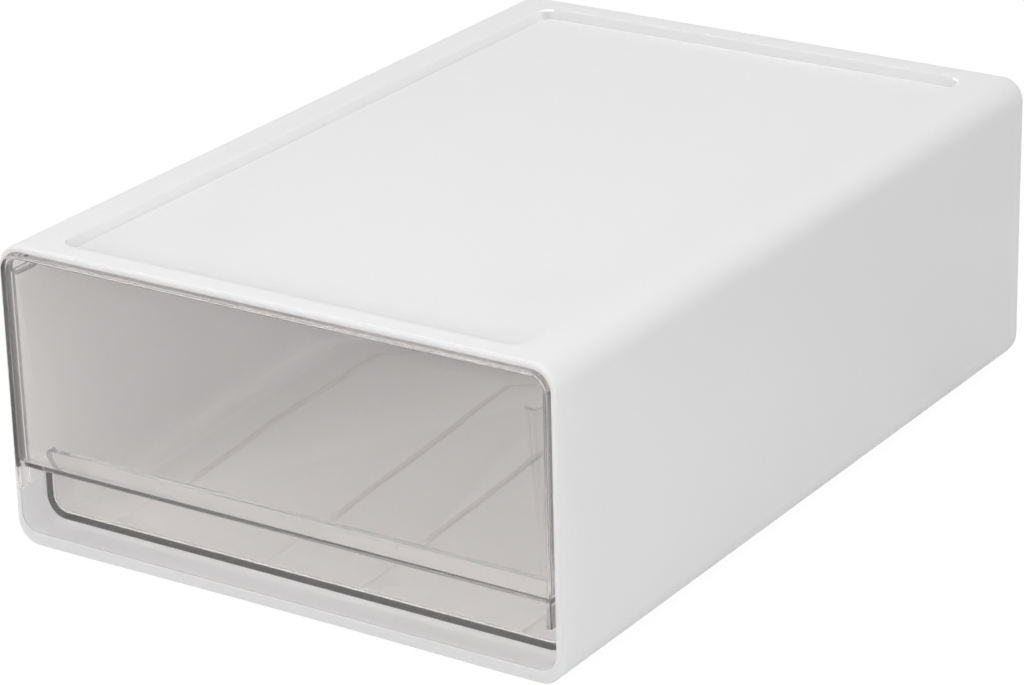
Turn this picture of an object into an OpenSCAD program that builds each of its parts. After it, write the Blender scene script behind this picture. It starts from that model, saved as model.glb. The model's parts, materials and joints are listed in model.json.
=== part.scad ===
// Stackable drawer box: a moulded casing, a clear drawer that slides out of it,
// and four soft pads under the feet that lock into the box below.
// X is the width, the front faces -Y, Z is up. The origin is at the middle of
// the footprint, on the surface that the pads stand on.

/* [Casing] */
// Outside width of the casing
casing_w = 252; // [220:1:320]
// Outside depth of the casing, front edge to back
casing_d = 371; // [300:1:440]
// Outside height of the casing without its feet
casing_h = 125; // [100:1:200]
// Thickness of the casing's walls
wall = 2.4; // [2:0.1:3]
// Radius of the two upper long edges
top_edge_r = 10.5; // [9:0.5:14]
// Radius of the two lower long edges
bottom_edge_r = 10; // [9:0.5:14]
// Radius of the edges round the back
back_edge_r = 10; // [6:0.5:11]
// Rounding of the front edge, inside the wall's thickness
lip_r = 1.2; // [0.5:0.1:1.4]
// Height of the floor's upper face above the casing's lower edge
floor_lift = 5.5; // [5:0.1:8]
// Rise of the lower front and back edges in the middle
arch_rise = 1; // [0.4:0.1:2]
// Half the span of that rise
arch_half = 110; // [60:1:112]

/* [Stacking] */
// Width of the raised rim on top, at the sides
rim_w = 21.6; // [16:0.2:28]
// Width of the raised rim on top, at the front
rim_front_w = 10; // [8:0.5:20]
// Width of the raised rim on top, at the back
rim_back_w = 19; // [14:0.5:26]
// Depth of the stacking recess inside the rim
recess_depth = 4.5; // [2.5:0.1:6]
// How far the recess widens towards its upper edge
recess_flare = 1.2; // [0.4:0.1:2]
// Corner radius of the stacking recess
recess_r = 6; // [3:0.5:10]
// Play of the feet in the recess of the box below, at the sides
stack_play = 0.6; // [0.3:0.1:1.5]
// Gap left under the pads of the upper box in a stack
stack_gap = 0.8; // [0.1:0.1:1.2]
// Side of each square foot
foot_side = 26; // [20:1:34]
// Corner radius of each foot
foot_r = 5; // [3:0.5:8]

/* [Foot pads] */
// Diameter of a pad
pad_dia = 16; // [10:0.5:18]
// Thickness of a pad
pad_t = 1.6; // [1.2:0.1:2.5]
// How far a pad stands out of its foot
pad_proud = 0.7; // [0.3:0.1:1]
// Radial play of a pad in its seat
pad_play = 0.1; // [0.05:0.05:0.3]

/* [Ribs] */
// Distance of the two inner floor ribs from the middle
rib_inner_x = 22.5; // [15:0.5:50]
// Distance of the two outer floor ribs from the middle
rib_outer_x = 95; // [70:1:98]
// Width of a glide rib on the casing's floor
glide_w = 1.6; // [1:0.1:3]
// Height of a glide rib
glide_h = 1.3; // [0.8:0.1:2]
// Thickness of the stiffening ribs under the floor
under_rib_t = 1.6; // [1:0.1:2.4]
// Number of bays between the cross ribs under the floor
under_bays = 5; // [2:1:8]

/* [Drawer] */
// Thickness of the drawer's walls and floor
tray_t = 1.8; // [1.4:0.1:2.6]
// Height of the drawer's upper edge above the casing's lower edge
tray_top = 113.5; // [80:0.5:185]
// Radius of the drawer's two lower long edges
tray_edge_r = 9; // [7:0.5:12]
// Outer radius of the lower edge and corners at the drawer's front
tray_front_r = 0.8; // [0.5:0.1:1.6]
// Inner radius of that edge and those corners
tray_front_in_r = 2.8; // [1:0.1:5]
// Radius of the lower edge and corners at the drawer's back
tray_back_r = 6; // [3:0.5:6.5]
// Width of the rim turned out along the drawer's upper edge
tray_rim = 1.4; // [0.8:0.1:1.8]
// Height of that rim
tray_rim_h = 2; // [1.4:0.1:3]
// Gap between the closed drawer's back and the casing's back
back_gap = 3; // [1:0.5:10]
// Running gap above the glide ribs
run_gap = 0.3; // [0.2:0.05:0.5]
// Radius of the gate mark in the middle of the drawer's floor
gate_r = 4; // [2:0.5:6]
// Height of the gate mark
gate_h = 0.4; // [0.2:0.1:0.6]
// How far the drawer pulls out to its stop
travel = 290; // [150:1:300]

/* [Drawer front] */
// Thickness of the clear front panel
panel_t = 2.2; // [1.8:0.1:3]
// How far the panel stands out in front of the casing
panel_proud = 2.4; // [1:0.1:4]
// Gap round the panel in the casing's opening
panel_gap = 0.4; // [0.3:0.1:1]
// Thickness of the flange round the panel
flange_t = 2; // [1.4:0.1:2.6]
// How far the flange reaches behind the casing's front edge
flange_in = 4; // [2:0.5:8]
// Rounding of the panel's front edge
panel_edge_r = 0.8; // [0.4:0.1:1.6]
// Height of the panel's lower edge above the casing's lower edge
fold_z = 33.8; // [26:0.1:45]
// Rounding of the panel's lower edge
fold_r = 1.6; // [0.6:0.1:2]
// Length of the flange's tails below that edge
tail_len = 9.5; // [4:0.5:16]
// Thickness of the finger ledge behind the lower edge
ledge_t = 2; // [1.6:0.1:3]
// Depth of the finger recess behind the casing's front edge
grip_depth = 12.5; // [10:0.5:20]

/* [Stops] */
// Distance of each stop from the middle
stop_x = 70; // [40:1:90]
// Width of a stop
stop_w = 22; // [12:1:30]
// Length of a stop's sloping front
stop_slope = 14; // [8:1:20]
// Length of a stop's flat end
stop_flat = 3; // [2:0.5:5]
// How far a stop reaches below the drawer's upper edge
stop_catch = 2.5; // [1.5:0.5:4]

/* [Hidden] */
$fn = 48;
// Overrun of a cut past the face it opens
over = 1;

foot_h = recess_depth - stack_gap;
foot_wall = under_rib_t;
casing_front = (panel_proud - casing_d) / 2;

opening_x = casing_w / 2 - wall;
opening_top = casing_h - wall;
ceiling_z = casing_h - recess_depth - wall;

pocket_in = bottom_edge_r;
pocket_x = casing_w / 2 - pocket_in;
pocket_depth = floor_lift - wall;

recess_x = casing_w / 2 - rim_w - recess_flare;
recess_y0 = rim_front_w + recess_flare;
recess_y1 = casing_d - rim_back_w - recess_flare;

foot_x = recess_x - stack_play - foot_side / 2;
foot_front_y = recess_y0 + stack_play + foot_side / 2;
foot_back_y = recess_y1 - stack_play - foot_side / 2;

panel_x = opening_x - panel_gap;
panel_top = opening_top - panel_gap;
panel_r = top_edge_r - wall - panel_gap;
tail_z = fold_z - tail_len;

tray_x = panel_x - flange_t;
tray_z = floor_lift + glide_h + run_gap;
tray_back = casing_d - wall - back_gap - tray_rim;
tray_len = tray_back - grip_depth;
hollow_y = grip_depth + tray_t + tray_front_in_r;
stop_y = tray_back - tray_t - travel - run_gap;

rib_xs = [-rib_outer_x, -rib_inner_x, rib_inner_x, rib_outer_x];

// ---- shared shapes ----

// The waste outside a rounded corner at the origin, in the quadrant +X +Y
module spandrel(r) {
    difference() {
        translate([-over, -over]) square(r + over);
        translate([r, r]) circle(r);
    }
}

// A strip from y = 0 to len and x = 0 to reach, its two far corners rounded
module strip(reach, len, front_r, back_r) {
    difference() {
        square([reach, len]);
        if (front_r > 0) translate([reach, 0]) mirror([1, 0]) spandrel(front_r);
        if (back_r > 0) translate([reach, len]) rotate(180) spandrel(back_r);
    }
}

// A block that stands on z = 0, with its long upper edges rounded by edge_r, its
// front outline by front_r and its back outline by back_r
module soft_half(w, len, h, edge_r, front_r, back_r) {
    for (side = [-1, 1])
        translate([side * (w / 2 - edge_r), 0, h - edge_r])
            rotate([-90, 0, 0])
                rotate_extrude()
                    strip(edge_r, len, front_r, back_r);
    rotate([0, -90, 0])
        linear_extrude(w - 2 * edge_r, center = true)
            strip(h, len, front_r, back_r);
    linear_extrude(h - edge_r) {
        strip(w / 2, len, front_r, back_r);
        mirror([1, 0]) strip(w / 2, len, front_r, back_r);
    }
}

// A block from low to high whose upper and lower long edges have their own radii
module soft_box(w, len, low, high, low_r, high_r, front_r, back_r) {
    mid = (low + high) / 2;
    translate([0, 0, mid]) {
        soft_half(w, len, high - mid, high_r, front_r, back_r);
        mirror([0, 0, 1]) soft_half(w, len, mid - low, low_r, front_r, back_r);
    }
}

// A flat outline from y0 to y1 with four equal corner radii
module round_rect(half_w, y0, y1, r) {
    difference() {
        translate([-half_w, y0]) square([2 * half_w, y1 - y0]);
        for (side = [0, 1]) mirror([side, 0]) {
            translate([half_w, y0]) mirror([1, 0]) spandrel(r);
            translate([half_w, y1]) rotate(180) spandrel(r);
        }
    }
}

// Extrude a flat YZ outline along X, about the middle
module along_x(w) {
    rotate([90, 0, 90]) linear_extrude(w, center = true) children();
}

// The casing's own place: its front edge at y = 0, its lower edge at z = 0
module in_casing() {
    translate([0, casing_front, foot_h]) children();
}

// ---- casing ----

// The stacking recess, whose four walls lean outwards towards the top
module recess() {
    rise = recess_depth + over;
    flare = recess_flare * rise / recess_depth;
    x = recess_x - recess_r;
    y0 = recess_y0 + recess_r;
    y1 = recess_y1 - recess_r;
    translate([0, 0, casing_h - recess_depth]) {
        for (corner_x = [-x, x], corner_y = [y0, y1])
            translate([corner_x, corner_y, 0])
                cylinder(h = rise, r1 = recess_r, r2 = recess_r + flare);
        along_x(2 * x)
            polygon([[recess_y0, 0], [recess_y1, 0],
                     [recess_y1 + flare, rise], [recess_y0 - flare, rise]]);
        translate([0, y1, 0])
            rotate([90, 0, 0])
                linear_extrude(y1 - y0)
                    polygon([[-recess_x, 0], [recess_x, 0],
                             [recess_x + flare, rise], [-recess_x - flare, rise]]);
    }
}

// The shallow arch under the lower front and back edges
module under_arch() {
    arch_r = (arch_half * arch_half + arch_rise * arch_rise) / (2 * arch_rise);
    translate([0, -over, arch_rise - arch_r])
        rotate([-90, 0, 0])
            cylinder(h = casing_d + 2 * over, r = arch_r, $fn = 720);
}

module casing_shell() {
    difference() {
        soft_box(casing_w, casing_d, 0, casing_h, bottom_edge_r, top_edge_r, lip_r, back_edge_r);
        casing_inside();
        recess();
        under_arch();
        translate([0, 0, -over])
            linear_extrude(pocket_depth + over)
                round_rect(pocket_x, pocket_in, casing_d - pocket_in, recess_r);
    }
}

// The room for the drawer, under a ceiling that steps down below the recess
module casing_inside() {
    skin = wall + recess_flare / 2;
    difference() {
        translate([0, -over, 0])
            soft_box(2 * opening_x, casing_d - wall + over, floor_lift, opening_top,
                     bottom_edge_r - wall, top_edge_r - wall, 0, back_edge_r - wall);
        translate([0, 0, ceiling_z])
            linear_extrude(casing_h)
                round_rect(recess_x + skin, recess_y0 - skin, recess_y1 + skin, recess_r + skin);
    }
}

module glide_rib(x) {
    y1 = casing_d - wall - back_edge_r;
    translate([x - glide_w / 2, hollow_y, floor_lift - wall])
        cube([glide_w, y1 - hollow_y, wall + glide_h]);
}

// Ribs in the pocket under the floor, along the glide ribs and across
module under_ribs() {
    len = casing_d - 2 * pocket_in;
    for (x = rib_xs)
        translate([x - under_rib_t / 2, pocket_in - over, 0])
            cube([under_rib_t, len + 2 * over, floor_lift - wall / 2]);
    for (bay = [1 : under_bays - 1])
        translate([-pocket_x - over, pocket_in + bay * len / under_bays - under_rib_t / 2, 0])
            cube([2 * (pocket_x + over), under_rib_t, floor_lift - wall / 2]);
}

// One foot at the place given for its middle: a square wall round a boss that is
// hollowed for the pad
module foot(x, y) {
    half = foot_side / 2;
    inner = half - foot_wall;
    seat_r = pad_dia / 2 + pad_play;
    translate([x, y, pad_proud - foot_h])
        linear_extrude(foot_h - pad_proud + floor_lift - wall / 2) {
            difference() {
                round_rect(half, -half, half, foot_r);
                round_rect(inner, -inner, inner, foot_r - foot_wall);
            }
            difference() {
                circle(seat_r + foot_wall);
                circle(seat_r);
            }
        }
    translate([x, y, pad_t - foot_h])
        cylinder(h = foot_h - pad_t + floor_lift - wall / 2, r = seat_r + foot_wall / 2);
}

// A wedge under the ceiling that the drawer's back wall meets when pulled out
module stop_wedge(x) {
    top = ceiling_z + wall / 2;
    low = tray_top - stop_catch;
    flat_y = stop_y - stop_flat;
    translate([x, 0, 0])
        along_x(stop_w)
            polygon([[stop_y, top], [stop_y, low], [flat_y, low],
                     [flat_y - stop_slope, ceiling_z], [flat_y - stop_slope, top]]);
}

module casing() {
    color("white") in_casing() {
        casing_shell();
        for (x = rib_xs) glide_rib(x);
        under_ribs();
        for (x = [-foot_x, foot_x], y = [foot_front_y, foot_back_y]) foot(x, y);
        for (x = [-stop_x, stop_x]) stop_wedge(x);
    }
}

// ---- drawer ----

// The clear front: panel, flange round its top and sides, and the two tails
module drawer_front() {
    front_d = panel_proud + flange_in;
    difference() {
        translate([0, -panel_proud, tail_z])
            soft_half(2 * panel_x, front_d, panel_top - tail_z, panel_r, panel_edge_r, 0);
        translate([0, panel_t - panel_proud, fold_z])
            soft_half(2 * tray_x, front_d, panel_top - flange_t - fold_z,
                      panel_r - flange_t, 0, 0);
        translate([-tray_x, -panel_proud - over, tail_z - over])
            cube([2 * tray_x, front_d + 2 * over, fold_z + ledge_t - tail_z + over]);
    }
}

// Side view of the panel's rounded lower edge and the finger ledge behind it
module ledge_profile() {
    back = grip_depth + tray_t;
    difference() {
        translate([-panel_proud, fold_z]) square([panel_proud + back, ledge_t + fold_r]);
        translate([-panel_proud, fold_z]) spandrel(fold_r);
        translate([panel_t - panel_proud, fold_z + ledge_t]) square([back + over, fold_r + over]);
    }
}

// The tub behind the ledge, or its hollow when drawn in by inset and raised by up
module tub(inset, up, front_r) {
    translate([0, grip_depth + inset, tray_top + up])
        mirror([0, 0, 1])
            soft_half(2 * (tray_x - inset), tray_len - 2 * inset, tray_top + up - tray_z - inset,
                      tray_edge_r - inset, front_r, tray_back_r - inset);
}

// The cheeks carry the side walls forward to the flange, above the ledge
module cheeks() {
    y0 = flange_in - tray_t;
    z0 = fold_z + ledge_t / 2;
    for (side = [0, 1]) mirror([side, 0, 0])
        translate([tray_x - tray_t, y0, z0])
            cube([tray_t, hollow_y - y0, tray_top - z0]);
}

// The plate whose edge is the rim turned out along the side and back walls
module rim_plate() {
    x = tray_x + tray_rim;
    y0 = flange_in + tray_rim;
    y1 = tray_back + tray_rim;
    translate([0, 0, tray_top - tray_rim_h])
        linear_extrude(tray_rim_h)
            difference() {
                translate([-x, y0]) square([2 * x, y1 - y0]);
                for (side = [0, 1]) mirror([side, 0])
                    translate([x, y1]) rotate(180) spandrel(tray_back_r + tray_rim);
            }
}

// The space over the ledge, through to the back of the panel
module ledge_bay() {
    x = tray_x - tray_t;
    y0 = panel_t - panel_proud;
    z0 = fold_z + ledge_t;
    translate([-x, y0, z0])
        cube([2 * x, hollow_y - y0, tray_top + over - z0]);
}

module drawer() {
    color("gainsboro", 0.45) in_casing() {
        drawer_front();
        along_x(2 * tray_x) ledge_profile();
        difference() {
            union() {
                tub(0, 0, tray_front_r);
                cheeks();
                rim_plate();
            }
            tub(tray_t, over, tray_front_in_r);
            ledge_bay();
        }
        translate([0, tray_back / 2, tray_z + tray_t / 2])
            cylinder(h = tray_t / 2 + gate_h, r = gate_r);
    }
}

// ---- pads ----

module foot_pad(x, y) {
    color("lightgrey") in_casing()
        translate([x, y, -foot_h])
            cylinder(h = pad_t, r = pad_dia / 2);
}

module foot_pad_front_left() { foot_pad(-foot_x, foot_front_y); }
module foot_pad_front_right() { foot_pad(foot_x, foot_front_y); }
module foot_pad_rear_left() { foot_pad(-foot_x, foot_back_y); }
module foot_pad_rear_right() { foot_pad(foot_x, foot_back_y); }

casing();
drawer();
foot_pad_front_left();
foot_pad_front_right();
foot_pad_rear_left();
foot_pad_rear_right();
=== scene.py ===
import json
import math

import bmesh
import bpy
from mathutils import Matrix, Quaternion, Vector

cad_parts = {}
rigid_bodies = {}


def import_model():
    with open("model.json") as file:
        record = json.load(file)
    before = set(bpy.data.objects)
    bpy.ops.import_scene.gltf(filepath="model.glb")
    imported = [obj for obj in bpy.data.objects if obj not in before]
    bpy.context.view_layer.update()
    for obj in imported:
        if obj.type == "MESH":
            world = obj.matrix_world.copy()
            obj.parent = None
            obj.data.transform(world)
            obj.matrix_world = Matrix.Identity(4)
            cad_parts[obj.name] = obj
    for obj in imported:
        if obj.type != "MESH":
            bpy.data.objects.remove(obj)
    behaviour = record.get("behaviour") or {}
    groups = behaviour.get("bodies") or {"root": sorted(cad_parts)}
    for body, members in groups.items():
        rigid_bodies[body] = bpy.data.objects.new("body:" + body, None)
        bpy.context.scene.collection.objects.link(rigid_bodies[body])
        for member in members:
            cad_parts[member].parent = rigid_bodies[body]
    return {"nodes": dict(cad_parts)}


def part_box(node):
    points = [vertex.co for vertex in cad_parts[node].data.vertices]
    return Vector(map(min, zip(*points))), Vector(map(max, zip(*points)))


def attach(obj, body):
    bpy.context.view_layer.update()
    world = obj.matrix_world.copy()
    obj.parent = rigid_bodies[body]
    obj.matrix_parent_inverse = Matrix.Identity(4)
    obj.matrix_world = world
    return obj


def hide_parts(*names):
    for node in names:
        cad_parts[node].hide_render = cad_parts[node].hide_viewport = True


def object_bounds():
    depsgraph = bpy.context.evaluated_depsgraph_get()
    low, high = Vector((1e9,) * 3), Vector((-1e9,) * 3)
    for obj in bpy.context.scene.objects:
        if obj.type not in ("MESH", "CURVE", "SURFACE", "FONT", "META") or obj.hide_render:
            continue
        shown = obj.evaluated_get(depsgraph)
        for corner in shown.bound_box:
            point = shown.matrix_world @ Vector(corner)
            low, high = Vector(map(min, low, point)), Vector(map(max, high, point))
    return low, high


# A stackable drawer box: a white moulded casing, a clear moulded drawer that
# slides out of it, and four soft pads under its feet. Everything is in metres.

MM = 0.001

# Camera: place, direction in degrees as seen from the box, and lens in millimetres
CAMERA_PLACE = Vector((0.8083, -1.2362, 0.6476))
CAMERA_AZIMUTH = 33.656
CAMERA_ELEVATION = 22.092
CAMERA_ROLL = 1.456
CAMERA_LENS = 137.7
SENSOR_WIDTH = 36.0

# Mesh of a moulding: corners that are one, and the angle under which two faces are one
SAME_CORNER = 0.001 * MM
FLAT_ANGLE = math.radians(0.2)

# Softening of the moulded edges: their widths, which edges are sharp, and steps round an edge
CASING_EDGE = 0.45 * MM
DRAWER_EDGE = 0.3 * MM
SHARP_ANGLE = math.radians(32)
EDGE_STEPS = 3

# How far the drawer's panel stands in front of the casing, and how deep the painted shade along
# the casing's front edge reaches
PANEL_PROUD = 2.4 * MM
CASING_SHADED_EDGE = 1.4 * MM

# Stacking recess: half width and reach back at its floor, depth, lean and corner of its walls
RECESS_X = 103.2 * MM
RECESS_BACK = 166.5 * MM
RECESS_DEPTH = 4.5 * MM
RECESS_FLARE = 1.2 * MM
RECESS_CORNER = 6 * MM

# Painted shade on the recess's back wall, from its floor up to a height: reach to the front,
# half width and height, for the straight wall and for the wall with its corners
RECESS_SHADES = (
    (0.5 * MM, RECESS_X - 0.7 * RECESS_CORNER, 2 * RECESS_DEPTH),
    (0.9 * RECESS_CORNER, RECESS_X + RECESS_FLARE, 3.4 * MM),
)
RECESS_SHADE_FULL = 0.2            # share of the reach at which the painted shade is at its full strength
RECESS_SHADE_FOOT = 0.05 * MM      # it starts this far above the recess's floor
RECESS_SHADE_FOOT_FULL = 0.3 * MM
RECESS_SHADE_FADE = 0.4 * MM       # width over which it ends

# Glide ribs on the casing's floor: places across, foot, front and back end
RIB_INNER = 22.5 * MM
RIB_OUTER = 95 * MM
RIB_FOOT = 9.2 * MM
RIB_FRONT = 110.0 * MM
RIB_BACK = 183.0 * MM

# Painted shade along the glide ribs: half width, and the widths over which it ends at
# the sides, in front, below the ribs' foot and above it
RIB_SHADE = 0.9 * MM
RIB_SHADE_FADE = 0.3 * MM
RIB_SHADE_TAPER = 15 * MM
RIB_SHADE_BELOW = (0.3 * MM, 0.1 * MM)
RIB_SHADE_ABOVE = (4 * MM, 2 * MM)

# Clear panel: half width, its flange, height of the fold, and thickness of the ledge
PANEL_X = 123.2 * MM
FLANGE_T = 2.0 * MM
FLANGE_DEPTH = 6.4 * MM
FOLD_Z = 37.5 * MM
LEDGE_T = 2.0 * MM

# Where dark reflections are painted on the thick edges of the panel: the widths over which this
# begins and ends at the flange's back end, on the right tail, on the left wall, at the height of
# the fold, below the fold, above the ledge, and behind the panel's face
FLANGE_FADE = 0.2 * MM
TAIL_FADE = 0.3 * MM
LEFT_WALL_FADE = (0.6 * MM, 0.2 * MM)
SPLIT_FADE = 1.0 * MM
FOLD_BELOW = (0.5 * MM, 0.2 * MM)
FOLD_ABOVE = 0.6 * MM
FOLD_BEHIND = (1.2 * MM, 0.8 * MM)

# Shared effects: fineness of the grain, of the flow marks and of the rubbed streaks, how the
# streaks are drawn out along Y, which part of the noise counts as rubbed, and what a material
# gets where it gives no value of its own
GRAIN_DETAIL = 3.0
FLOW_DETAIL = 1.0
STREAK_DETAIL = 2.0
STREAK_STRETCH = (1.0, 0.15, 1.0)
STREAK_START = 0.5
STREAK_FULL = 0.75
GRAIN_BUMP = 0.6
USUAL_GRAIN = 0.5 * MM
USUAL_FLOW = 40 * MM
USUAL_STREAK = 30 * MM
USUAL_RUBBED = 0.5

# Finish of the casing: white satin plastic, in which light wanders a little
CASING_GRAIN = 0.7 * MM
CASING_FLOW = 70 * MM
CASING_RUBBED = 0.5
CASING_ROUGHNESS = (0.42, 0.55)
CASING_GRAIN_HEIGHT = 0.02 * MM
CASING_GLOSS = 0.4
CASING_BLEED = 2 * MM
CASING_WHITES = ((0.91, 0.906, 0.912), (0.925, 0.921, 0.927))
# painted shade: grey that darkens the casing's front edge
FRONT_EDGE_SHADE_COLOUR = (0.62, 0.615, 0.62)
# painted shade: grey for the recess's back wall
RECESS_SHADE_COLOUR = (0.66, 0.655, 0.66)
# painted shade: grey along the glide ribs
RIB_SHADE_COLOUR = (0.7, 0.67, 0.66)

# Finish of the drawer: clear plastic with a grey cast, most light goes straight through
DRAWER_GRAIN = 6 * MM
DRAWER_FLOW = 60 * MM
DRAWER_ROUGHNESS = (0.02, 0.05)
DRAWER_GRAIN_HEIGHT = 0.01 * MM
DRAWER_CLARITY = 0.95
DRAWER_IOR = 1.5
DRAWER_CLEARS = ((0.995, 0.98, 0.975), (0.995, 0.985, 0.98))
DRAWER_SHADOW = (0.995, 0.985, 0.98, 1.0)
DRAWER_CAST = (0.5, 0.49, 0.48, 1.0)
DRAWER_CAST_DENSITY = 15.0
# painted dark reflections on the panel's thick edges
TAIL_REFLECTION_COLOUR = (0.4, 0.39, 0.39)
FOLD_REFLECTION_COLOUR = (0.66, 0.63, 0.64)
LEFT_WALL_REFLECTION_COLOUR = (0.15, 0.14, 0.14)

# Finish of the foot pads: grey soft rubber
PAD_GRAIN = 0.4 * MM
PAD_FLOW = 8 * MM
PAD_STREAK = 6 * MM
PAD_ROUGHNESS = (0.6, 0.8)
PAD_GRAIN_HEIGHT = 0.05 * MM
PAD_GREYS = ((0.44, 0.44, 0.43), (0.52, 0.52, 0.51))

# Foot pads: steps round and up, how square their edge is (1 is a flattened ball), and the
# least reach that is raised to a power
PAD_STEPS_ROUND = 48
PAD_STEPS_UP = 20
PAD_EDGE_POWER = 0.22
LEAST_REACH = 1e-6

# Floor: half its side, its colour, and how strongly and how much it glows where it is seen
FLOOR_REACH = 6.0
FLOOR_COLOUR = (0.8, 0.8, 0.8, 1.0)
FLOOR_ROUGHNESS = 0.9
FLOOR_GLOW = 1.05
FLOOR_GLOW_SHARE = 0.92

# Light: strength of the room, and the softboxes with their place, size and watts
WHITE = (1, 1, 1, 1)
ROOM_LIGHT = 0.25
SOFTBOXES = (
    ("top", (0.0, 0.2, 1.6), (2.0, 1.3), 11.2),
    ("front", (-0.1, -1.9, 0.55), (1.8, 1.1), 28.0),
    ("low right", (0.95, -1.5, 0.65), (1.0, 0.8), 2.3),
    ("right", (1.8, 0.0, 0.7), (1.6, 1.0), 6.0),
    ("left", (-1.8, 0.0, 0.7), (1.6, 1.0), 4.0),
)

for leftover in list(bpy.data.objects):
    bpy.data.objects.remove(leftover)
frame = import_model()
cad_low, cad_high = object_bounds()
scene = bpy.context.scene


# ---- camera ----

def make_camera():
    azimuth, elevation, roll = map(math.radians, (CAMERA_AZIMUTH, CAMERA_ELEVATION, CAMERA_ROLL))
    back = Vector((math.sin(azimuth) * math.cos(elevation),
                   -math.cos(azimuth) * math.cos(elevation),
                   math.sin(elevation)))
    data = bpy.data.cameras.new("camera")
    data.sensor_width = SENSOR_WIDTH
    data.lens = CAMERA_LENS
    camera = bpy.data.objects.new("camera", data)
    scene.collection.objects.link(camera)
    camera.rotation_mode = "QUATERNION"
    level = (-back).to_track_quat("-Z", "Y")
    camera.rotation_quaternion = Quaternion(back, -roll) @ level
    camera.location = CAMERA_PLACE
    scene.camera = camera


# ---- shader parts ----

def new_group(name, inputs, outputs):
    """An empty shader node group with named sockets: (tree, its input node, its output node)"""
    tree = bpy.data.node_groups.new(name, "ShaderNodeTree")
    for label, kind, value in inputs:
        socket = tree.interface.new_socket(label, in_out="INPUT", socket_type=kind)
        socket.default_value = value
    for label, kind in outputs:
        tree.interface.new_socket(label, in_out="OUTPUT", socket_type=kind)
    return tree, tree.nodes.new("NodeGroupInput"), tree.nodes.new("NodeGroupOutput")


def add(tree, kind, inputs=None, **settings):
    """A node in the tree, its settings made and its inputs given as values or as sockets"""
    node = tree.nodes.new(kind)
    for label, value in settings.items():
        setattr(node, label, value)
    for label, value in (inputs or {}).items():
        if isinstance(value, bpy.types.NodeSocket):
            tree.links.new(value, node.inputs[label])
        else:
            node.inputs[label].default_value = value
    return node


def worked(tree, operation, *values, **settings):
    """Socket with the result of one Math operation on values or sockets"""
    return add(tree, "ShaderNodeMath", dict(enumerate(values)), operation=operation,
               **settings).outputs[0]


def ramp(tree, value, start, end):
    """Mask that is 0 up to the start and 1 from the end on, which may lie either way"""
    return add(tree, "ShaderNodeMapRange", {"Value": value, "From Min": start, "From Max": end},
               interpolation_type="SMOOTHSTEP").outputs[0]


def moulded_grain_group():
    """Surface of a moulded part: fine grain, and the slow flow marks of the melt"""
    tree, given, made = new_group(
        "moulded grain",
        [("Grain Size", "NodeSocketFloat", USUAL_GRAIN),
         ("Flow Size", "NodeSocketFloat", USUAL_FLOW)],
        [("Grain", "NodeSocketFloat"), ("Flow", "NodeSocketFloat")],
    )
    place = add(tree, "ShaderNodeTexCoord").outputs["Object"]
    for size, result, detail in (("Grain Size", "Grain", GRAIN_DETAIL),
                                 ("Flow Size", "Flow", FLOW_DETAIL)):
        scale = worked(tree, "DIVIDE", 1.0, given.outputs[size])
        noise = add(tree, "ShaderNodeTexNoise",
                    {"Vector": place, "Scale": scale, "Detail": detail})
        tree.links.new(noise.outputs["Fac"], made.inputs[result])
    return tree


def rubbed_group():
    """Where hands and sliding leave the surface a little smoother: sparse streaks along Y"""
    tree, given, made = new_group(
        "rubbed",
        [("Streak Size", "NodeSocketFloat", USUAL_STREAK),
         ("Amount", "NodeSocketFloat", USUAL_RUBBED)],
        [("Mask", "NodeSocketFloat")],
    )
    place = add(tree, "ShaderNodeTexCoord").outputs["Object"]
    along = add(tree, "ShaderNodeMapping", {"Vector": place, "Scale": STREAK_STRETCH})
    scale = worked(tree, "DIVIDE", 1.0, given.outputs["Streak Size"])
    noise = add(tree, "ShaderNodeTexNoise",
                {"Vector": along.outputs[0], "Scale": scale, "Detail": STREAK_DETAIL})
    streaks = ramp(tree, noise.outputs["Fac"], STREAK_START, STREAK_FULL)
    mask = worked(tree, "MULTIPLY", streaks, given.outputs["Amount"])
    tree.links.new(mask, made.inputs["Mask"])
    return tree


def new_material(name):
    """A material with an empty tree and a Principled shader: (material, tree, shader, output)"""
    material = bpy.data.materials.new(name)
    material.use_nodes = True
    tree = material.node_tree
    tree.nodes.clear()
    shader = add(tree, "ShaderNodeBsdfPrincipled")
    output = add(tree, "ShaderNodeOutputMaterial", {"Surface": shader.outputs[0]})
    return material, tree, shader, output


def mixed_colour(tree, mask, first, second):
    """The first colour where the mask is 0 and the second where it is 1"""
    mix = add(tree, "ShaderNodeMix", data_type="RGBA")
    tree.links.new(mask, mix.inputs["Factor"])
    for label, colour in (("A", first), ("B", second)):
        socket = next(s for s in mix.inputs if s.name == label and s.type == "RGBA")
        if isinstance(colour, bpy.types.NodeSocket):
            tree.links.new(colour, socket)
        else:
            socket.default_value = (*colour, 1.0)
    return next(s for s in mix.outputs if s.type == "RGBA")


def part_axes(tree):
    """Sockets with the place on the part along X, Y and Z"""
    place = add(tree, "ShaderNodeTexCoord").outputs["Object"]
    return add(tree, "ShaderNodeSeparateXYZ", {0: place}).outputs


def joined(tree, operation, first, *others):
    """All masks or values joined by one Math operation"""
    for other in others:
        first = worked(tree, operation, first, other)
    return first


def distance(tree, value, middle):
    """How far the value is from the middle, either way"""
    return worked(tree, "ABSOLUTE", worked(tree, "SUBTRACT", value, middle))


def moulded_surface(tree, grain_size, flow_size):
    """The two shared effects, placed in a material's tree: (grain, rubbed)"""
    grain = add(tree, "ShaderNodeGroup", node_tree=GRAIN)
    grain.inputs["Grain Size"].default_value = grain_size
    grain.inputs["Flow Size"].default_value = flow_size
    return grain, add(tree, "ShaderNodeGroup", node_tree=RUBBED)


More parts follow.
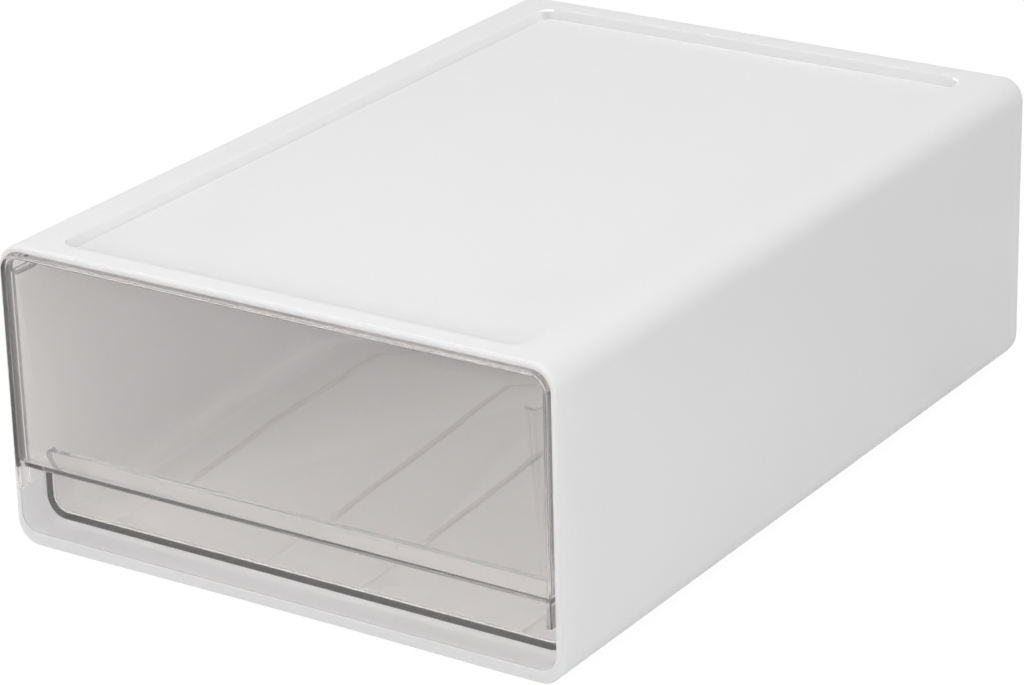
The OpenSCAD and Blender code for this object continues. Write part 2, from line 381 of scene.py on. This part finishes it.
def finish_surface(tree, shader, grain, rubbed, roughness, bump_height):
    """Roughness that varies with the flow marks, less where rubbed, and a bump of the grain"""
    smooth, rough = roughness
    base = add(tree, "ShaderNodeMapRange",
               {"Value": grain.outputs["Flow"], "To Min": smooth, "To Max": rough})
    less = worked(tree, "MULTIPLY", rubbed.outputs["Mask"], rough - smooth)
    final = worked(tree, "SUBTRACT", base.outputs[0], less, use_clamp=True)
    tree.links.new(final, shader.inputs["Roughness"])
    bump = add(tree, "ShaderNodeBump",
               {"Height": grain.outputs["Grain"], "Distance": bump_height,
                "Strength": GRAIN_BUMP})
    tree.links.new(bump.outputs[0], shader.inputs["Normal"])


GRAIN = moulded_grain_group()
RUBBED = rubbed_group()


def recess_shade_mask(tree, beside, y, z, reach, half_width, height):
    """One band of painted shade on the recess's back wall, with soft ends"""
    floor = cad_high.z - RECESS_DEPTH
    rim = RECESS_BACK + RECESS_FLARE
    return joined(tree, "MULTIPLY",
                  ramp(tree, y, RECESS_BACK - reach, RECESS_BACK - RECESS_SHADE_FULL * reach),
                  ramp(tree, y, rim + RECESS_SHADE_FADE, rim),
                  ramp(tree, z, floor + RECESS_SHADE_FOOT, floor + RECESS_SHADE_FOOT_FULL),
                  ramp(tree, z, floor + height + RECESS_SHADE_FADE, floor + height),
                  ramp(tree, beside, half_width + RECESS_SHADE_FADE, half_width))


def rib_shade_mask(tree, beside, y, z):
    """Painted shade along the four glide ribs"""
    off_rib = distance(tree, beside, (RIB_OUTER + RIB_INNER) / 2)
    off_rib = distance(tree, off_rib, (RIB_OUTER - RIB_INNER) / 2)
    below, full_below = RIB_SHADE_BELOW
    above, full_above = RIB_SHADE_ABOVE
    return joined(tree, "MULTIPLY",
                  ramp(tree, off_rib, RIB_SHADE + RIB_SHADE_FADE, RIB_SHADE),
                  ramp(tree, y, -RIB_FRONT - RIB_SHADE_TAPER, -RIB_FRONT),
                  ramp(tree, y, RIB_BACK + RIB_SHADE_FADE, RIB_BACK),
                  ramp(tree, z, RIB_FOOT - below, RIB_FOOT - full_below),
                  ramp(tree, z, RIB_FOOT + above, RIB_FOOT + full_above))


def casing_white():
    material, tree, shader, _ = new_material("casing_white")
    grain, rubbed = moulded_surface(tree, CASING_GRAIN, CASING_FLOW)
    rubbed.inputs["Amount"].default_value = CASING_RUBBED
    x, y, z = part_axes(tree)
    front = cad_low.y + PANEL_PROUD
    # painted shade along the casing's front edge
    front_edge_shade = ramp(tree, y, front + CASING_SHADED_EDGE, front)
    beside = distance(tree, x, 0.0)
    # painted shade on the recess's back wall
    recess_shade = joined(tree, "MAXIMUM", *(recess_shade_mask(tree, beside, y, z, *sizes) for sizes in RECESS_SHADES))
    # painted shade along the four glide ribs
    rib_shade = rib_shade_mask(tree, beside, y, z)
    colour = mixed_colour(tree, grain.outputs["Flow"], *CASING_WHITES)
    # painted shade on the casing's front edge
    colour = mixed_colour(tree, front_edge_shade, colour, FRONT_EDGE_SHADE_COLOUR)
    # painted shade on the recess's back wall
    colour = mixed_colour(tree, recess_shade, colour, RECESS_SHADE_COLOUR)
    # painted shade along the glide ribs
    colour = mixed_colour(tree, rib_shade, colour, RIB_SHADE_COLOUR)
    tree.links.new(colour, shader.inputs["Base Color"])
    finish_surface(tree, shader, grain, rubbed, CASING_ROUGHNESS, CASING_GRAIN_HEIGHT)
    shader.inputs["Specular IOR Level"].default_value = CASING_GLOSS
    shader.inputs["Subsurface Weight"].default_value = 1.0
    shader.inputs["Subsurface Scale"].default_value = CASING_BLEED
    shader.inputs["Subsurface Radius"].default_value = (1.0, 1.0, 1.0)
    return material


def dark_reflection_masks(tree):
    """Where dark reflections are painted on the panel's edges: (right tail, fold, left wall)"""
    x, y, z = part_axes(tree)
    face = cad_low.y
    flange_end = face + FLANGE_DEPTH
    in_flange = ramp(tree, y, flange_end, flange_end - FLANGE_FADE)
    inner = PANEL_X - FLANGE_T
    wall_start, wall_full = LEFT_WALL_FADE
    below, full_below = FOLD_BELOW
    behind, full_behind = FOLD_BEHIND
    ledge_top = FOLD_Z + LEDGE_T
    right_tail = joined(tree, "MULTIPLY", in_flange,
                        ramp(tree, x, inner, inner + TAIL_FADE),
                        ramp(tree, z, FOLD_Z, FOLD_Z - SPLIT_FADE))
    left_wall = joined(tree, "MULTIPLY", in_flange,
                       ramp(tree, x, wall_start - inner, wall_full - inner),
                       ramp(tree, z, FOLD_Z - SPLIT_FADE, FOLD_Z))
    fold = joined(tree, "MULTIPLY",
                  ramp(tree, z, FOLD_Z - below, FOLD_Z - full_below),
                  ramp(tree, z, ledge_top + FOLD_ABOVE, ledge_top),
                  ramp(tree, y, face + behind, face + full_behind))
    return right_tail, fold, left_wall


def drawer_clear():
    material, tree, shader, output = new_material("drawer_clear")
    grain, rubbed = moulded_surface(tree, DRAWER_GRAIN, DRAWER_FLOW)
    colour = mixed_colour(tree, grain.outputs["Flow"], *DRAWER_CLEARS)
    # painted dark reflections on the panel's right tail, fold and left wall
    reflection_colours = (TAIL_REFLECTION_COLOUR, FOLD_REFLECTION_COLOUR, LEFT_WALL_REFLECTION_COLOUR)
    for mask, reflection_colour in zip(dark_reflection_masks(tree), reflection_colours):
        colour = mixed_colour(tree, mask, colour, reflection_colour)
    tree.links.new(colour, shader.inputs["Base Color"])
    finish_surface(tree, shader, grain, rubbed, DRAWER_ROUGHNESS, DRAWER_GRAIN_HEIGHT)
    shader.inputs["Transmission Weight"].default_value = DRAWER_CLARITY
    shader.inputs["IOR"].default_value = DRAWER_IOR
    clear = add(tree, "ShaderNodeBsdfTransparent", {"Color": DRAWER_SHADOW})
    ray = add(tree, "ShaderNodeLightPath")
    mix = add(tree, "ShaderNodeMixShader",
              {0: ray.outputs["Is Shadow Ray"], 1: shader.outputs[0], 2: clear.outputs[0]})
    tree.links.new(mix.outputs[0], output.inputs["Surface"])
    inside = add(tree, "ShaderNodeVolumeAbsorption",
                 {"Color": DRAWER_CAST, "Density": DRAWER_CAST_DENSITY})
    tree.links.new(inside.outputs[0], output.inputs["Volume"])
    return material


def pad_soft():
    material, tree, shader, _ = new_material("pad_soft")
    grain, rubbed = moulded_surface(tree, PAD_GRAIN, PAD_FLOW)
    rubbed.inputs["Streak Size"].default_value = PAD_STREAK
    colour = mixed_colour(tree, grain.outputs["Flow"], *PAD_GREYS)
    tree.links.new(colour, shader.inputs["Base Color"])
    finish_surface(tree, shader, grain, rubbed, PAD_ROUGHNESS, PAD_GRAIN_HEIGHT)
    return material


# ---- pieces ----

def finished(piece, body, slot, *nodes):
    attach(piece, body)
    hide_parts(*nodes)


def plain_mesh(piece):
    """Turns the piece's modifiers into its mesh"""
    graph = bpy.context.evaluated_depsgraph_get()
    mesh = bpy.data.meshes.new_from_object(piece.evaluated_get(graph))
    piece.modifiers.clear()
    piece.data = mesh


def dressed(node, name, edge, material, even):
    """A copy of a node with joined faces, softened edges and the material, and where even is
    true with flat faces shaded flat right up to their rounded edges"""
    mesh = frame["nodes"][node].data.copy()
    mesh.name = name
    form = bmesh.new()
    form.from_mesh(mesh)
    bmesh.ops.remove_doubles(form, verts=form.verts, dist=SAME_CORNER)
    bmesh.ops.dissolve_limit(form, angle_limit=FLAT_ANGLE,
                             verts=form.verts, edges=form.edges)
    for face in form.faces:
        face.smooth = True
    form.to_mesh(mesh)
    form.free()
    piece = bpy.data.objects.new(name, mesh)
    scene.collection.objects.link(piece)
    soften = piece.modifiers.new("soften", "BEVEL")
    soften.limit_method = "ANGLE"
    soften.angle_limit = SHARP_ANGLE
    soften.width = edge
    soften.segments = EDGE_STEPS
    soften.use_clamp_overlap = True
    soften.harden_normals = not even
    if even:
        piece.modifiers.new("even shading", "WEIGHTED_NORMAL")
    plain_mesh(piece)
    piece.data.materials.clear()
    piece.data.materials.append(material)
    return piece


def pad_tree(material):
    """Geometry nodes for the pads: flattened domes at the corners of a rectangle"""
    tree = bpy.data.node_groups.new("foot pads", "GeometryNodeTree")
    for label, kind in (("Across", "NodeSocketFloat"), ("Along", "NodeSocketFloat"),
                        ("Middle", "NodeSocketVector"), ("Radius", "NodeSocketFloat"),
                        ("Half Height", "NodeSocketFloat"), ("Edge Power", "NodeSocketFloat")):
        tree.interface.new_socket(label, in_out="INPUT", socket_type=kind)
    tree.interface.new_socket("Geometry", in_out="OUTPUT", socket_type="NodeSocketGeometry")
    given = add(tree, "NodeGroupInput")
    ball = add(tree, "GeometryNodeMeshUVSphere",
               {"Segments": PAD_STEPS_ROUND, "Rings": PAD_STEPS_UP, "Radius": 1.0})
    place = add(tree, "GeometryNodeInputPosition")
    parts = add(tree, "ShaderNodeSeparateXYZ", {0: place.outputs[0]})
    flat = add(tree, "ShaderNodeCombineXYZ", {"X": parts.outputs[0], "Y": parts.outputs[1]})
    reach = add(tree, "ShaderNodeVectorMath", {0: flat.outputs[0]}, operation="LENGTH")
    reach = worked(tree, "MAXIMUM", reach.outputs["Value"], LEAST_REACH)
    power = given.outputs["Edge Power"]
    widen = worked(tree, "POWER", reach, worked(tree, "SUBTRACT", power, 1.0))
    widen = worked(tree, "MULTIPLY", widen, given.outputs["Radius"])
    wide = add(tree, "ShaderNodeVectorMath", {0: flat.outputs[0], "Scale": widen},
               operation="SCALE")
    size = worked(tree, "POWER", worked(tree, "ABSOLUTE", parts.outputs[2]), power)
    side = worked(tree, "SIGN", parts.outputs[2])
    tall = joined(tree, "MULTIPLY", size, side, given.outputs["Half Height"])
    lift = add(tree, "ShaderNodeCombineXYZ", {"Z": tall})
    shaped = add(tree, "ShaderNodeVectorMath", {0: wide.outputs[0], 1: lift.outputs[0]},
                 operation="ADD")
    pad = add(tree, "GeometryNodeSetPosition",
              {"Geometry": ball.outputs["Mesh"], "Position": shaped.outputs[0]})
    smooth = add(tree, "GeometryNodeSetShadeSmooth", {"Geometry": pad.outputs[0]})
    grid = add(tree, "GeometryNodeMeshGrid",
               {"Size X": given.outputs["Across"], "Size Y": given.outputs["Along"],
                "Vertices X": 2, "Vertices Y": 2})
    moved = add(tree, "GeometryNodeTransform",
                {"Geometry": grid.outputs["Mesh"], "Translation": given.outputs["Middle"]})
    pads = add(tree, "GeometryNodeInstanceOnPoints",
               {"Points": moved.outputs[0], "Instance": smooth.outputs[0]})
    real = add(tree, "GeometryNodeRealizeInstances", {"Geometry": pads.outputs[0]})
    dyed = add(tree, "GeometryNodeSetMaterial",
               {"Geometry": real.outputs[0], "Material": material})
    add(tree, "NodeGroupOutput", {"Geometry": dyed.outputs[0]})
    return tree


def make_pads(material):
    names = [n for n in frame["nodes"] if n.startswith("foot_pad_")]
    corners = [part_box(n) for n in names]
    middles = [(low + high) / 2 for low, high in corners]
    low, high = corners[0]
    values = {
        "Across": max(m.x for m in middles) - min(m.x for m in middles),
        "Along": max(m.y for m in middles) - min(m.y for m in middles),
        "Middle": sum(middles, Vector()) / len(middles),
        "Radius": (high.x - low.x) / 2,
        "Half Height": (high.z - low.z) / 2,
        "Edge Power": PAD_EDGE_POWER,
    }
    piece = bpy.data.objects.new("foot_pads", bpy.data.meshes.new("foot_pads"))
    scene.collection.objects.link(piece)
    modifier = piece.modifiers.new("pads", "NODES")
    modifier.node_group = pad_tree(material)
    for socket in modifier.node_group.interface.items_tree:
        if socket.in_out == "INPUT":
            modifier[socket.identifier] = values[socket.name]
    plain_mesh(piece)
    finished(piece, "casing", "pad_soft", *names)


# ---- stage and light ----

def make_floor():
    mesh = bpy.data.meshes.new("floor")
    corners = [(x * FLOOR_REACH, y * FLOOR_REACH, 0)
               for x, y in ((-1, -1), (1, -1), (1, 1), (-1, 1))]
    mesh.from_pydata(corners, [], [(0, 1, 2, 3)])
    floor = bpy.data.objects.new("floor", mesh)
    scene.collection.objects.link(floor)
    material, tree, shader, output = new_material("floor_white")
    shader.inputs["Base Color"].default_value = FLOOR_COLOUR
    shader.inputs["Roughness"].default_value = FLOOR_ROUGHNESS
    shader.inputs["Specular IOR Level"].default_value = 0.0
    glow = add(tree, "ShaderNodeEmission", {"Color": WHITE, "Strength": FLOOR_GLOW})
    mix = add(tree, "ShaderNodeMixShader",
              {0: seen_directly(tree, FLOOR_GLOW_SHARE), 1: shader.outputs[0],
               2: glow.outputs[0]})
    tree.links.new(mix.outputs[0], output.inputs["Surface"])
    mesh.materials.append(material)


def seen_directly(tree, share):
    """share for what the camera meets, by itself or in gloss and glass, and 0 for other rays"""
    ray = add(tree, "ShaderNodeLightPath")
    seen = joined(tree, "MAXIMUM", *(ray.outputs[f"Is {kind} Ray"]
                                     for kind in ("Camera", "Glossy", "Transmission")))
    return worked(tree, "MULTIPLY", seen, share)


def make_room():
    world = bpy.data.worlds.new("room")
    world.use_nodes = True
    tree = world.node_tree
    tree.nodes.clear()
    light = add(tree, "ShaderNodeBackground", {"Color": WHITE, "Strength": ROOM_LIGHT})
    white = add(tree, "ShaderNodeBackground", {"Color": WHITE, "Strength": 1.0})
    mix = add(tree, "ShaderNodeMixShader",
              {0: seen_directly(tree, 1.0), 1: light.outputs[0], 2: white.outputs[0]})
    add(tree, "ShaderNodeOutputWorld", {"Surface": mix.outputs[0]})
    scene.world = world


def softbox(name, place, aim, size, watts):
    data = bpy.data.lights.new(name, "AREA")
    data.shape = "RECTANGLE"
    data.size, data.size_y = size
    data.energy = watts
    lamp = bpy.data.objects.new(name, data)
    scene.collection.objects.link(lamp)
    lamp.location = place
    lamp.rotation_mode = "QUATERNION"
    lamp.rotation_quaternion = (Vector(aim) - Vector(place)).to_track_quat("-Z", "Y")


def make_lights():
    middle = (cad_low + cad_high) / 2
    for name, place, size, watts in SOFTBOXES:
        softbox(name, place, middle, size, watts)


# ---- the scene ----

make_camera()
scene.view_settings.view_transform = "Standard"
make_room()
make_lights()
make_floor()

casing = dressed("casing", "casing_shell", CASING_EDGE, casing_white(), True)
finished(casing, "casing", "casing_white", "casing")
drawer = dressed("drawer", "clear_drawer", DRAWER_EDGE, drawer_clear(), False)
finished(drawer, "drawer", "drawer_clear", "drawer")
make_pads(pad_soft())
